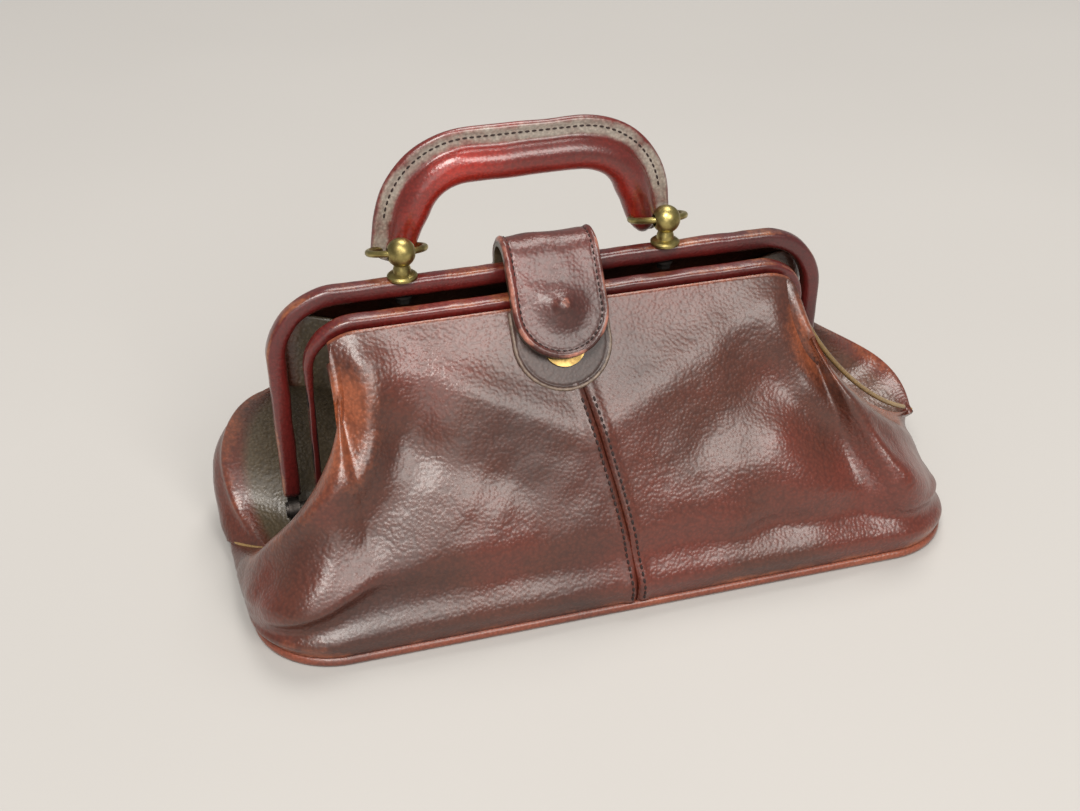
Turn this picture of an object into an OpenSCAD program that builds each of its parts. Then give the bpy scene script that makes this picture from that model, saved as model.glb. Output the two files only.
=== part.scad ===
// Gladstone bag: a frame-top leather bag with fold-in ends, a rolled handle on
// rings and ball posts, and a strap that closes over the frame on a snap.
// Millimetres, +Z up, +X along the bag, -Y towards its front.
// The origin is the middle of the base, on the surface the bag stands on.

/* [Base] */
// Length of the base
base_l = 312; // [280:1:350]
// Depth of the base, front to back
base_d = 150; // [130:1:170]
// Corner radius of the base outline
base_corner_r = 34; // [26:1:40]
// Diameter of the piped welt round the base
welt_d = 4.4; // [3:0.1:6]
// Thickness of the base leather
base_leather_t = 2; // [1.5:0.1:3]
// Thickness of the stiffening board in the base
board_t = 3; // [2:0.5:5]
// Gap between the board and the body leather
board_gap = 2; // [1:0.5:6]

/* [Body leather] */
// Thickness of the body leather
leather_t = 2; // [1.4:0.1:2.6]
// How far the leather swells out just above the base
low_swell = 6; // [2:0.5:10]
// How much further it swells at the slumped left end
end_swell = 9; // [0:0.5:12]
// How far it stands out of a straight line below the frame
high_swell = 6; // [2:0.5:10]
// Depth of the leather's sunk and raised folds, as a multiple of their own depth
fold_depth = 1; // [0:0.1:1.4]

/* [Fold-in ends] */
// How far the left fold tip stands out past the base, or inside it if negative
left_tip_reach = -9; // [-14:0.5:2]
// How far the right fold tip stands out past the base
right_tip_reach = 4; // [-4:0.5:8]
// Height of the left fold tip, where the slumped end sits low
left_tip_z = 15; // [12:1:24]
// Height of the right fold tip
right_tip_z = 32; // [20:1:40]
// How far in front of the middle the fold tips lie
tip_forward = 10; // [4:1:20]
// Where the side seams meet the base, behind the middle
side_seam_y = 14; // [6:1:24]
// Height at which the rear folds meet the rear frame's legs
rear_fold_z = 84; // [76:1:90]
// How far the valley between the legs lies inside the front frame
valley_inset = 16; // [12:1:22]

/* [Frame] */
// Width of the rear frame, outside
frame_w = 245; // [225:1:260]
// Height of the rear frame's top
frame_top = 131; // [122:1:145]
// How far the slumped frame sits to the left of the base's middle
slouch = 14; // [0:1:20]
// How far the rear frame's middle lies behind the base's middle
frame_y = 2; // [0:0.5:6]
// Corner radius of the rear frame, outside
frame_corner_r = 30; // [24:1:36]
// Width of the rear rim, seen from the front
rim_w = 8; // [7:0.5:10]
// Depth of the rear rim, front to back
rim_d = 8; // [7:0.5:10]
// How far the front frame's ends sit inside the rear frame's
front_inset = 12.5; // [11:0.5:16]
// How far the front frame's top sits below the rear frame's
front_drop = 7; // [4:0.5:12]
// Width of the front rim, seen from the front
front_rim_w = 6; // [5:0.5:8]
// Depth of the front rim, front to back
front_rim_d = 7; // [6:0.5:9]
// How far the front frame leans forward when the bag is shut, in degrees
front_lean = 6.5; // [5.5:0.1:9]
// Thickness of the leather on both frames
rim_leather_t = 1.6; // [1.2:0.1:2]
// How far the body leather's top edges sit inside the frames' outer edges
edge_inset = 5; // [4:0.5:7]

/* [Hinges] */
// Height of the hinge pins
hinge_z = 26; // [24:1:34]
// Diameter of the hinge pins
hinge_pin_d = 4; // [3:0.1:4.6]
// Outer diameter of the eyes at the frames' lower ends
hinge_eye_d = 9.6; // [8.6:0.1:11]
// Running clearance of the pins, on the radius
pin_clearance = 0.05; // [0.02:0.01:0.1]
// Height of the leather's end above the hinge pin
rim_end = 8; // [6:0.5:12]

/* [Ball posts and rings] */
// Distance between the ball posts
post_spacing = 113; // [100:1:124]
// How far the handle sits to the left of the frame's middle
handle_shift = 8; // [0:1:10]
// Diameter of the balls
ball_d = 12; // [10:0.5:14]
// Height of the balls' middles above the rear frame
ball_rise = 11; // [9:0.5:14]
// Diameter of the hole through each ball
ball_hole_d = 5.2; // [5:0.1:5.6]
// Diameter of the posts' foot flanges
post_foot_d = 12.4; // [10:0.2:15]
// Diameter of the posts' threaded shanks
post_shank_d = 3; // [2:0.1:3.4]
// Diameter of the handle rings at the middle of the wire
ring_d = 23.2; // [21.6:0.2:26]
// Diameter of the ring wire
ring_wire_d = 2.8; // [2:0.1:2.9]
// How far the rings slope down towards the back, in degrees
ring_slope = 20; // [10:1:24]

/* [Handle] */
// Height of the handle's top above the ring axis it hangs on
handle_rise = 49; // [45:1:60]
// Diameter of the padded roll
handle_roll_d = 13.5; // [11:0.5:16]
// Width of the stitched flange outside the roll
handle_flange_w = 8; // [5:0.5:9]
// Thickness of the stitched flange
handle_flange_t = 3.4; // [2.6:0.2:5]
// Corner radius at the middle of the roll
handle_corner_r = 25; // [20:1:30]
// Diameter of the core inside the roll
handle_core_d = 7; // [4:0.5:9]
// Width of the handle's ends, where the rings pass
handle_end_w = 14; // [12:0.5:15]
// Diameter of the handle's ends round the ring hole
handle_end_d = 12; // [11:0.5:15]
// Diameter of the ring holes in the handle's ends
handle_hole_d = 6.6; // [6.4:0.1:7.2]

/* [Strap and snap] */
// How far the strap sits to the left of the frame's middle
strap_shift = 5; // [0:1:8]
// Width of the strap
strap_w = 40; // [32:1:48]
// Thickness of the strap's top leather
strap_top_t = 2; // [1.4:0.1:2.4]
// Thickness of the strap's lining
strap_lining_t = 1.6; // [1:0.1:2]
// Length of the strap's straight run down the front
strap_run = 42; // [38:1:48]
// Height of the arch's middle above the rear frame
arch_rise = 1; // [0.5:0.5:4]
// Gap between the strap and the patch below it
strap_gap = 2.8; // [2.6:0.1:4]
// Width of the patch under the strap
patch_w = 42; // [34:1:50]
// Thickness of the patch
patch_t = 2; // [1.4:0.1:2.6]
// How far the patch reaches below the strap's end
patch_below = 13; // [10:1:18]
// Diameter of the snap's base disc
snap_base_d = 18; // [15:0.5:20]
// How far below the strap's stud the snap's base sits, since the snap is not pressed shut
snap_miss = 15; // [12:1:18]
// Diameter of the leather-covered bump over the stud
bump_d = 18; // [14:0.5:22]

/* [Hidden] */
$fn = 64;

oxblood = "#5a2326";
dark_oxblood = "#3d191b";
brass = "#9a8452";
steel = "#8d8f92";
board_grey = "#6b5d4f";

// Clearance between pieces that move past each other, and between leather laid on a frame
move_gap = 0.4;
lay_gap = 0.1;

frame_x = -slouch;
handle_x = frame_x - handle_shift;
strap_x = frame_x - strap_shift;
body_z = welt_d;
half_l = base_l / 2;
half_d = base_d / 2;
front_w = frame_w - 2 * front_inset;
front_top = frame_top - front_drop;
front_corner_r = frame_corner_r - front_drop;

function mix(a, b, t) = a + (b - a) * t;
function unit(v) = v / norm(v);
function bezier(p, t) = pow(1 - t, 3) * p[0] + 3 * t * pow(1 - t, 2) * p[1]
    + 3 * t * t * (1 - t) * p[2] + t * t * t * p[3];
function bow(p, t) = pow(1 - t, 2) * p[0] + 2 * t * (1 - t) * p[1] + t * t * p[2];

// A point of the shut front frame, given as it would stand upright over the hinge
function lean(p) = [p[0], p[1] * cos(front_lean) - (p[2] - hinge_z) * sin(front_lean),
    hinge_z + p[1] * sin(front_lean) + (p[2] - hinge_z) * cos(front_lean)];

// The leather body is a net of columns that rise from the base outline to the
// folds and the frames. Each end has a side, a corner and half of the long edge.
side_cells = 3;
corner_cells = 5;
long_cells = 8;
fold_cells = 9;
edge_cells = 7;
columns = side_cells + corner_cells + long_cells;
rows = 12;
web_cells = 6;

// Column i of the base outline: sx picks the left or right end, sy the front or back
function corner_turn(i) = 90 * max(0, min(1, (i - side_cells) / corner_cells));
function outline_normal(i, sx, sy) = [sx * cos(corner_turn(i)), sy * sin(corner_turn(i)), 0];
function outline(i, sx, sy, inset) =
    i < side_cells
    ? [sx * (half_l - inset), mix(side_seam_y, sy * (half_d - base_corner_r), i / side_cells), body_z]
    : i <= side_cells + corner_cells
    ? [sx * (half_l - base_corner_r), sy * (half_d - base_corner_r), body_z]
        + (base_corner_r - inset) * outline_normal(i, sx, sy)
    : [sx * (half_l - base_corner_r) * (columns - i) / long_cells, sy * (half_d - inset), body_z];

// Top edges of the leather on the frames, dx from the frame's middle; deep is 0 outside and 1 inside
function arch_z(dx, half_w, top, r) =
    top - r + sqrt(r * r - pow(max(0, min(r, abs(dx) - half_w + r)), 2));
front_edge_w = front_w / 2 - edge_inset;
front_edge_r = front_corner_r - edge_inset;
rear_edge_w = frame_w / 2 - edge_inset;
rear_edge_r = frame_corner_r - edge_inset;
function front_edge(dx, deep) = lean([frame_x + dx,
    -front_rim_d / 2 - move_gap - leather_t * (1 - deep),
    arch_z(dx, front_edge_w, front_top - edge_inset, front_edge_r)]);
function rear_edge(dx, deep, z) = [frame_x + dx,
    frame_y + rim_d / 2 + lay_gap + leather_t * (1 - deep), z];
function rear_arch(dx, deep) =
    rear_edge(dx, deep, arch_z(dx, rear_edge_w, frame_top - edge_inset, rear_edge_r));

// The folds that close each end run from a tip over the base's end up to the frames.
// Each is one curve with two handles, measured from its tip and from its upper end.
left_front_low = [13, -28, 23];
left_front_high = [5, -26, -30];
right_front_low = [-38, -30, 14];
right_front_high = [-8, -30, -26];
left_rear_low = [-16, 48, 0];
left_rear_high = [-28, 25, -15];
right_rear_low = [13, 46, 2];
right_rear_high = [36, 22, -36];
fold_inset = leather_t * 1.7;
corner_share = 0.72;

function fold_tip(sx, deep) =
    [sx * (half_l + (sx < 0 ? left_tip_reach : right_tip_reach) - fold_inset * deep), -tip_forward,
    (sx < 0 ? left_tip_z : right_tip_z) - 0.5 * fold_inset * deep];
function front_corner_dx(sx) = sx * (front_edge_w - front_edge_r * (1 - corner_share));
function front_fold(sx, deep) =
    let (tip = fold_tip(sx, deep), end = front_edge(front_corner_dx(sx), deep),
        inward = deep * fold_inset * unit([-sx, 0.1, 0]))
    [tip, tip + (sx < 0 ? left_front_low : right_front_low) + inward * 0.3,
        end + (sx < 0 ? left_front_high : right_front_high) + inward, end];
function rear_fold(sx, deep) =
    let (tip = fold_tip(sx, deep), end = rear_edge(sx * rear_edge_w, deep, rear_fold_z),
        inward = deep * fold_inset * unit([-sx * 0.8, 0.4, 0]))
    [tip, tip + (sx < 0 ? left_rear_low : right_rear_low) + inward * 0.3,
        end + (sx < 0 ? left_rear_high : right_rear_high) + inward, end];

// Upper ends of the columns: up the fold, then along the frame to the middle seam
leg_cells = 2;
function front_top_edge(i, sx, deep) =
    i <= fold_cells
    ? bezier(front_fold(sx, deep), i / fold_cells)
    : front_edge(mix(front_corner_dx(sx), -strap_shift, (i - fold_cells) / edge_cells), deep);
rear_corner_dx = rear_edge_w - rear_edge_r * (1 - corner_share);
function rear_top_edge(i, sx, deep) =
    let (bend = fold_cells - leg_cells, leg_top = frame_top - edge_inset - rear_edge_r)
    i <= bend ? bezier(rear_fold(sx, deep), i / bend)
    : i < fold_cells
    ? rear_edge(sx * rear_edge_w, deep, mix(rear_fold_z, leg_top, (i - bend) / (leg_cells - 1)))
    : rear_arch(mix(sx * rear_corner_dx, -strap_shift, (i - fold_cells) / edge_cells), deep);
function top_edge(i, sx, sy, deep) = sy < 0 ? front_top_edge(i, sx, deep) : rear_top_edge(i, sx, deep);

// Sunk and raised places of the slumped leather, each given as its share along the
// columns, its share up them, its spread both ways and its depth
left_front_folds = [
    [0.62, 0.58, 0.10, 0.22, -6],
    [0.36, 0.30, 0.12, 0.10, 5],
    [0.52, 0.16, 0.16, 0.08, -4]];
right_front_folds = [
    [0.60, 0.55, 0.09, 0.22, -8],
    [0.74, 0.28, 0.08, 0.08, -3],
    [0.42, 0.40, 0.10, 0.14, 4]];
back_folds = [
    [0.62, 0.55, 0.10, 0.22, -5],
    [0.40, 0.28, 0.12, 0.10, 4]];
function folds_at(u, v, folds) =
    [for (f = folds) f[4] * exp(-pow((u - f[0]) / f[2], 2) - pow((v - f[1]) / f[3], 2))]
    * [for (f = folds) 1];
function folds_of(sx, sy) = sy > 0 ? back_folds : sx < 0 ? left_front_folds : right_front_folds;

// One point of the body: column i, height v from 0 at the base to 1 at the top
function body_point(i, v, sx, sy, deep) =
    let (foot = outline(i, sx, sy, leather_t * deep), head = top_edge(i, sx, sy, deep),
        out = outline_normal(i, sx, sy), rise = head[2] - foot[2],
        swell = low_swell + (sx < 0 ? end_swell * pow(cos(corner_turn(i)), 2) : 0),
        fade = sin(180 * v) * sin(180 * i / columns),
        wave = fold_depth * fade * folds_at(i / columns, v, folds_of(sx, sy)))
    bezier([foot, foot + [0, 0, 0.3 * rise] + out * swell, mix(head, foot, 0.3) + out * high_swell, head], v)
        + out * wave;
function body_half(sx, sy, deep) =
    [for (i = [0:columns]) [for (j = [0:rows]) body_point(i, j / rows, sx, sy, deep)]];

// The trough between the folds, in which the frames' legs stand. A quarter of the way
// along, where the hinges are, its floor passes below the hinge eyes.
eye_room = 10.5;
trough_floor_z = hinge_z - hinge_eye_d / 2 - eye_room;
valley_x = front_w / 2 - front_rim_w - valley_inset;
valley_y = -2;
valley_lean = 4;
valley_below = 2;
function valley(q, sx, deep) =
    let (tip = fold_tip(sx, 0), top = front_edge(front_corner_dx(sx), 0)[2] - valley_below,
        mid_z = mix(hinge_z, top, 0.4),
        low_z = (trough_floor_z - (27 * tip[2] + 9 * mid_z + top) / 64) * 64 / 27,
        inward = unit([-sx * min(1, 2 * q), 0, -max(0, 1 - 2 * q)]) * leather_t * deep)
    q == 0 ? fold_tip(sx, deep)
    : bezier([tip,
        [frame_x + sx * (valley_x - 2 * valley_lean), valley_y, low_z],
        [frame_x + sx * (valley_x - valley_lean), valley_y, mid_z],
        [frame_x + sx * valley_x, valley_y, top]], q) + inward;
// The gusset stops just short of the crease, where it is sewn to the panels
seam_share = 0.98;
function trough_point(j, m, sx, deep) =
    let (floor_pt = valley(j / fold_cells, sx, deep), sy = m < web_cells ? -1 : 1,
        lip = top_edge(j, sx, sy, deep),
        knee = [floor_pt[0], mix(floor_pt[1], lip[1], 0.8), mix(floor_pt[2], lip[2], 0.4)]
            + [0, sy * leather_t * 0.6 * deep, 0])
    bow([floor_pt, knee, lip], seam_share * abs(m - web_cells) / web_cells);
function trough(sx, deep) =
    [for (j = [0:fold_cells]) [for (m = [0:2 * web_cells]) trough_point(j, m, sx, deep)]];

// Closed sheet between an outer and an inner net of points; pinch makes the first row one point
module sheet(outer, inner, flip = false, pinch = false) {
    last = len(outer) - 1;
    side = len(outer[0]) - 1;
    count = (last + 1) * (side + 1);
    function id(layer, a, b) = layer * count + (pinch && a == 0 ? 0 : a * (side + 1) + b);
    function split(p, q, r, s) = concat(p == q ? [] : [[p, q, r]], r == s ? [] : [[p, r, s]]);
    function turned(f) = flip ? [f[2], f[1], f[0]] : f;
    skins = [for (a = [0:last - 1]) for (b = [0:side - 1])
        each concat(split(id(0, a, b), id(0, a, b + 1), id(0, a + 1, b + 1), id(0, a + 1, b)),
            split(id(1, a, b + 1), id(1, a, b), id(1, a + 1, b), id(1, a + 1, b + 1)))];
    ends = [for (b = [0:side - 1]) each concat(
        pinch ? [] : split(id(0, 0, b + 1), id(0, 0, b), id(1, 0, b), id(1, 0, b + 1)),
        split(id(0, last, b), id(0, last, b + 1), id(1, last, b + 1), id(1, last, b)))];
    edges = [for (a = [0:last - 1]) each concat(
        split(id(0, a, 0), id(0, a + 1, 0), id(1, a + 1, 0), id(1, a, 0)),
        split(id(0, a + 1, side), id(0, a, side), id(1, a, side), id(1, a + 1, side)))];
    function whole(f) = f[0] != f[1] && f[1] != f[2] && f[2] != f[0];
    polyhedron(points = concat([for (r = outer) each r], [for (r = inner) each r]),
        faces = [for (f = concat(skins, ends, edges)) if (whole(f)) turned(f)],
        convexity = 8);
}

module front_left_panel() color(oxblood)
    sheet(body_half(-1, -1, 0), body_half(-1, -1, 1));

module front_right_panel() color(oxblood)
    sheet(body_half(1, -1, 0), body_half(1, -1, 1), flip = true);

function reversed(list) = [for (i = [len(list) - 1:-1:0]) list[i]];
function back_net(deep) = concat(body_half(-1, 1, deep),
    [for (i = [columns - 1:-1:0]) body_half(1, 1, deep)[i]]);
module back_panel() color(oxblood)
    sheet(back_net(0), back_net(1), flip = true);

module left_gusset() color(dark_oxblood)
    sheet(trough(-1, 0), trough(-1, 1), pinch = true);

module right_gusset() color(dark_oxblood)
    sheet(trough(1, 0), trough(1, 1), flip = true, pinch = true);

// Rounded plate of the base, inset from the body's outline
module base_outline(inset) {
    r = base_corner_r - inset;
    for (sx = [-1, 1])
        for (sy = [-1, 1])
            translate([sx * (half_l - base_corner_r), sy * (half_d - base_corner_r)])
                circle(r);
    square([base_l - 2 * base_corner_r, base_d - 2 * inset], center = true);
    square([base_l - 2 * inset, base_d - 2 * base_corner_r], center = true);
}

welt_inset = leather_t / 2;
module bottom_panel() color(oxblood)
    linear_extrude(base_leather_t)
        base_outline(welt_inset + welt_d / 2);

module bottom_board() color(board_grey)
    translate([0, 0, base_leather_t])
        linear_extrude(board_t)
            base_outline(leather_t + board_gap);

// Piping that closes the seam between the base and the body
module bottom_welt() color(dark_oxblood)
    translate([0, 0, welt_d / 2]) {
        run_x = base_l - 2 * base_corner_r;
        run_y = base_d - 2 * base_corner_r;
        for (s = [-1, 1]) {
            translate([-run_x / 2, s * (half_d - welt_inset), 0])
                rotate([0, 90, 0]) cylinder(d = welt_d, h = run_x);
            translate([s * (half_l - welt_inset), run_y / 2, 0])
                rotate([90, 0, 0]) cylinder(d = welt_d, h = run_y);
        }
        for (turn = [0:3])
            translate([(turn == 0 || turn == 3 ? 1 : -1) * run_x / 2, (turn < 2 ? 1 : -1) * run_y / 2, 0])
                rotate(90 * turn)
                    rotate_extrude(angle = 90)
                        translate([base_corner_r - welt_inset, 0]) circle(d = welt_d);
    }

// Inverted U: carries a section, x outwards and y through the depth, up both legs and over the top
module arch_sweep(half_w, top, r, bottom) {
    for (s = [0, 1])
        mirror([s, 0, 0]) {
            translate([half_w, 0, bottom]) linear_extrude(top - r - bottom) children();
            translate([half_w - r, 0, top - r])
                rotate([90, 0, 0])
                    rotate_extrude(angle = 90) translate([r, 0]) children();
        }
    translate([half_w - r, 0, top])
        rotate([0, -90, 0]) linear_extrude(2 * (half_w - r)) children();
}

module rounded_section(w, d, r) {
    for (sx = [-1, 1])
        for (sy = [-1, 1])
            translate([sx * (w / 2 - r), sy * (d / 2 - r)]) circle(r, $fn = 32);
    square([w, d - 2 * r], center = true);
    square([w - 2 * r, d], center = true);
}

rim_edge_r = 2.6;
module rim_section(w, d) difference() {
    rounded_section(w, d, rim_edge_r);
    square([w - 2 * rim_leather_t, d - 2 * rim_leather_t], center = true);
}

// Both frames stand upright at the hinge here; the front one is leant forward afterwards
rear_half = frame_w / 2 - rim_w / 2;
rear_mid_top = frame_top - rim_w / 2;
rear_mid_r = frame_corner_r - rim_w / 2;
front_half = front_w / 2 - front_rim_w / 2;
front_mid_top = front_top - front_rim_w / 2;
front_mid_r = front_corner_r - front_rim_w / 2;
rear_bar_w = rim_w - 2 * rim_leather_t;
rear_bar_d = rim_d - 2 * rim_leather_t;
front_bar_w = front_rim_w - 2 * rim_leather_t;
front_bar_d = front_rim_d - 2 * rim_leather_t;

module along_x(d, from, to)
    translate([from, 0, 0]) rotate([0, 90, 0]) cylinder(d = d, h = to - from);

// Eyes at the lower ends of a frame, and the pin holes through them
module eyes(half_w, w)
    for (s = [-1, 1])
        translate([s * half_w, 0, hinge_z]) along_x(hinge_eye_d, -w / 2, w / 2);
module pin_holes(half_w)
    for (s = [-1, 1])
        translate([s * half_w, 0, hinge_z])
            along_x(hinge_pin_d + 2 * pin_clearance, -hinge_eye_d, hinge_eye_d);

module at_posts()
    for (s = [-1, 1])
        translate([handle_x + s * post_spacing / 2, frame_y, 0]) children();
shank_clearance = 0.1;
shank_hole_d = post_shank_d + 2 * shank_clearance;
module post_holes() at_posts() cylinder(d = shank_hole_d, h = frame_top + rim_w);

module rear_frame_bar() color(steel)
    difference() {
        translate([frame_x, 0, 0])
            difference() {
                union() {
                    translate([0, frame_y, 0])
                        arch_sweep(rear_half, rear_mid_top, rear_mid_r, hinge_z)
                            square([rear_bar_w, rear_bar_d], center = true);
                    eyes(rear_half, rear_bar_w);
                }
                pin_holes(rear_half);
            }
        post_holes();
    }

module rear_frame_cover() color(oxblood)
    difference() {
        translate([frame_x, frame_y, 0])
            arch_sweep(rear_half, rear_mid_top, rear_mid_r, hinge_z + rim_end)
                rim_section(rim_w, rim_d);
        post_holes();
    }

module leant()
    translate([frame_x, 0, hinge_z])
        rotate([front_lean, 0, 0])
            translate([0, 0, -hinge_z]) children();

module front_frame_bar() color(steel)
    leant()
        difference() {
            union() {
                arch_sweep(front_half, front_mid_top, front_mid_r, hinge_z)
                    square([front_bar_w, front_bar_d], center = true);
                eyes(front_half, front_bar_w);
            }
            pin_holes(front_half);
        }

module front_frame_cover() color(oxblood)
    leant()
        arch_sweep(front_half, front_mid_top, front_mid_r, hinge_z + rim_end)
            rim_section(front_rim_w, front_rim_d);

// Shouldered rivet: head outside the rear eye, shoulder between the eyes, tail inside the front eye
pin_head_t = 1;
pin_head_d = hinge_pin_d + 3;
pin_shoulder_d = hinge_pin_d + 2;
module hinge_pin(s) translate([frame_x, 0, hinge_z])
    mirror([s < 0 ? 1 : 0, 0, 0]) {
        rear_in = rear_half - rear_bar_w / 2;
        rear_out = rear_half + rear_bar_w / 2;
        front_in = front_half - front_bar_w / 2;
        front_out = front_half + front_bar_w / 2;
        along_x(hinge_pin_d, front_in - move_gap - pin_head_t, rear_out + lay_gap + pin_head_t);
        along_x(pin_head_d, rear_out + lay_gap, rear_out + lay_gap + pin_head_t);
        along_x(pin_head_d, front_in - move_gap - pin_head_t, front_in - move_gap);
        along_x(pin_shoulder_d, front_out + move_gap, rear_in - lay_gap);
    }
module left_hinge_pin() color(steel) hinge_pin(-1);
module right_hinge_pin() color(steel) hinge_pin(1);

// Ball on a flared foot, with a shank through the frame to a nut below
washer_t = 0.8;
washer_d = 7.4;
nut_h = 2.4;
nut_d = 6.4;
nut_thread_clearance = 0.025;
shank_tail = 1;
foot_edge_t = 0.9;
foot_flare_t = 1.6;
neck_z = 4;
ball_z = frame_top + ball_rise;
neck_r = ball_d * 0.24;
neck_top = ball_rise - ball_d * 0.4;
module ball_post(s) translate([handle_x + s * post_spacing / 2, frame_y, frame_top]) {
    foot_r = post_foot_d / 2;
    below = rim_w + washer_t + nut_h + shank_tail;
    rotate_extrude()
        polygon([[0, 0], [foot_r, 0], [foot_r, foot_edge_t], [foot_r * 0.87, foot_flare_t],
            [foot_r * 0.6, foot_flare_t * 1.5], [neck_r * 1.25, neck_z], [neck_r, neck_top], [0, neck_top]]);
    difference() {
        translate([0, 0, ball_rise]) sphere(d = ball_d);
        translate([0, 0, ball_rise]) along_x(ball_hole_d, -ball_d, ball_d);
    }
    translate([0, 0, -below]) cylinder(d = post_shank_d, h = below + foot_edge_t);
}
module left_ball_post() color(brass) ball_post(-1);
module right_ball_post() color(brass) ball_post(1);

module post_washers() color(steel)
    at_posts()
        translate([0, 0, frame_top - rim_w - washer_t])
            difference() {
                cylinder(d = washer_d, h = washer_t);
                cylinder(d = shank_hole_d, h = washer_t);
            }

module post_nuts() color(steel)
    at_posts()
        translate([0, 0, frame_top - rim_w - washer_t - nut_h])
            difference() {
                cylinder(d = nut_d, h = nut_h, $fn = 6);
                cylinder(d = post_shank_d + 2 * nut_thread_clearance, h = nut_h);
            }

// A ring curves inside its straight holes, so each hole's axis lies midway through that curve
ring_r = ring_d / 2;
ball_axis = (ring_r + sqrt(ring_r * ring_r - ball_d * ball_d / 4)) / 2;
end_axis = (ring_r + sqrt(ring_r * ring_r - handle_end_w * handle_end_w / 4)) / 2;
ring_span = ball_axis + end_axis;
handle_y = frame_y + ring_span * cos(ring_slope);
handle_z = ball_z - ring_span * sin(ring_slope);
module handle_ring(s) translate([handle_x + s * post_spacing / 2, frame_y, ball_z])
    rotate([-ring_slope, 0, 0]) translate([0, ball_axis, 0])
        rotate_extrude() translate([ring_r, 0]) circle(d = ring_wire_d, $fn = 32);
module left_handle_ring() color(brass) handle_ring(-1);
module right_handle_ring() color(brass) handle_ring(1);

// Padded roll with a flat stitched flange along its outer side
// The roll stands inside the ring holes, so that the flange runs down over the handle's ends
roll_inset = 8;
roll_lift = 3;
handle_half = post_spacing / 2 - roll_inset;
handle_mid_top = handle_z + handle_rise - handle_flange_w - handle_roll_d / 2;
handle_foot = handle_z + handle_end_d / 2 + roll_lift;
module handle_section() {
    circle(d = handle_roll_d);
    reach = handle_roll_d / 2 + handle_flange_w - handle_flange_t / 2;
    translate([0, -handle_flange_t / 2]) square([reach, handle_flange_t]);
    translate([reach, 0]) circle(d = handle_flange_t, $fn = 32);
}
module handle_sweep() translate([handle_x, handle_y, 0])
    arch_sweep(handle_half, handle_mid_top, handle_corner_r, handle_foot) children();
module handle_cover() color(oxblood)
    difference() {
        union() {
            handle_sweep() handle_section();
            for (s = [-1, 1])
                translate([handle_x + s * post_spacing / 2 - handle_end_w / 2, handle_y, handle_z])
                    rotate([90, 0, 90]) linear_extrude(handle_end_w) {
                        circle(d = handle_end_d);
                        translate([-handle_end_d / 2, 0]) square([handle_end_d, handle_end_d]);
                    }
        }
        handle_sweep() circle(d = handle_core_d);
        for (s = [-1, 1])
            translate([handle_x + s * post_spacing / 2, handle_y, handle_z])
                along_x(handle_hole_d, -handle_end_w, handle_end_w);
    }

module handle_core() color(board_grey) handle_sweep() circle(d = handle_core_d);

// The strap leaves the rear frame, arches over both frames and runs down the front leather
front_head = front_edge(-strap_shift, 0);
patch_rest_v = 0.68;
front_foot = body_point(columns, patch_rest_v, -1, -1, 0);
run_dir = unit([front_foot[1] - front_head[1], front_foot[2] - front_head[2]]);
run_out = [run_dir[1], -run_dir[0]];
strap_t = strap_top_t + strap_lining_t;
strap_root = [frame_y + rim_d / 2 + move_gap + strap_t / 2,
    frame_top - edge_inset + move_gap + strap_t / 2];
run_height = move_gap + patch_t + strap_gap + strap_t / 2;
arch_mid_z = frame_top + arch_rise;
arch_r = (run_height - [strap_root[0] - front_head[1], arch_mid_z - front_head[2]] * run_out)
    / (1 - run_out[0]);
arch_mid = [strap_root[0] - arch_r, arch_mid_z];
arch_end = arch_mid + arch_r * run_out;
arch_turn = atan2(run_out[1], run_out[0]);
arch_steps = 18;
function strap_line(off) = concat([strap_root + [off, 0]],
    [for (k = [0:arch_steps]) let (turn = arch_turn * k / arch_steps)
        arch_mid + (arch_r + off) * [cos(turn), sin(turn)]],
    [arch_end + off * run_out + strap_run * run_dir]);

// A frame lying on the front leather under the strap: x across, y up the leather, z outwards
module on_front(down, out)
    translate([strap_x, front_head[1] + down * run_dir[0] + out * run_out[0],
        front_head[2] + down * run_dir[1] + out * run_out[1]])
        rotate([90 - atan2(run_out[1], -run_out[0]), 0, 0]) children();
strap_tip = (arch_end - [front_head[1], front_head[2]]) * run_dir + strap_run;
stud_up = 1;
stud_down = strap_tip - strap_w / 2 - stud_up;

module strap_layer(from, to, rolled_root = false) intersection() {
    translate([strap_x - strap_w / 2, 0, 0]) rotate([90, 0, 90])
        linear_extrude(strap_w) {
            polygon(concat(strap_line(to), reversed(strap_line(from))));
            if (rolled_root)
                translate(strap_root)
                    intersection() {
                        circle(d = strap_t, $fn = 32);
                        translate([-strap_t, -strap_t]) square([2 * strap_t, strap_t]);
                    }
        }
    // Rounds the strap's end, seen square to its run
    on_front(strap_tip - strap_w / 2, 0)
        linear_extrude(4 * strap_run, center = true) {
            circle(d = strap_w);
            translate([-strap_w / 2, 0]) square([strap_w, 3 * strap_run]);
        }
}
lining_line = strap_lining_t - strap_t / 2;
module strap_lining() color(dark_oxblood) strap_layer(-strap_t / 2, lining_line, rolled_root = true);

// The top leather swells over the stud's hidden cap
bump_h = 2.6;
bump_sink = 0.2;
bump_r = (bump_d * bump_d / 4 + bump_h * bump_h) / (2 * bump_h);
module strap_top() color(oxblood) {
    strap_layer(lining_line, strap_t / 2);
    on_front(stud_down, run_height + strap_t / 2 - bump_sink)
        rotate_extrude()
            intersection() {
                translate([0, bump_h - bump_r]) circle(bump_r);
                square([bump_d, bump_h]);
            }
}

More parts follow.
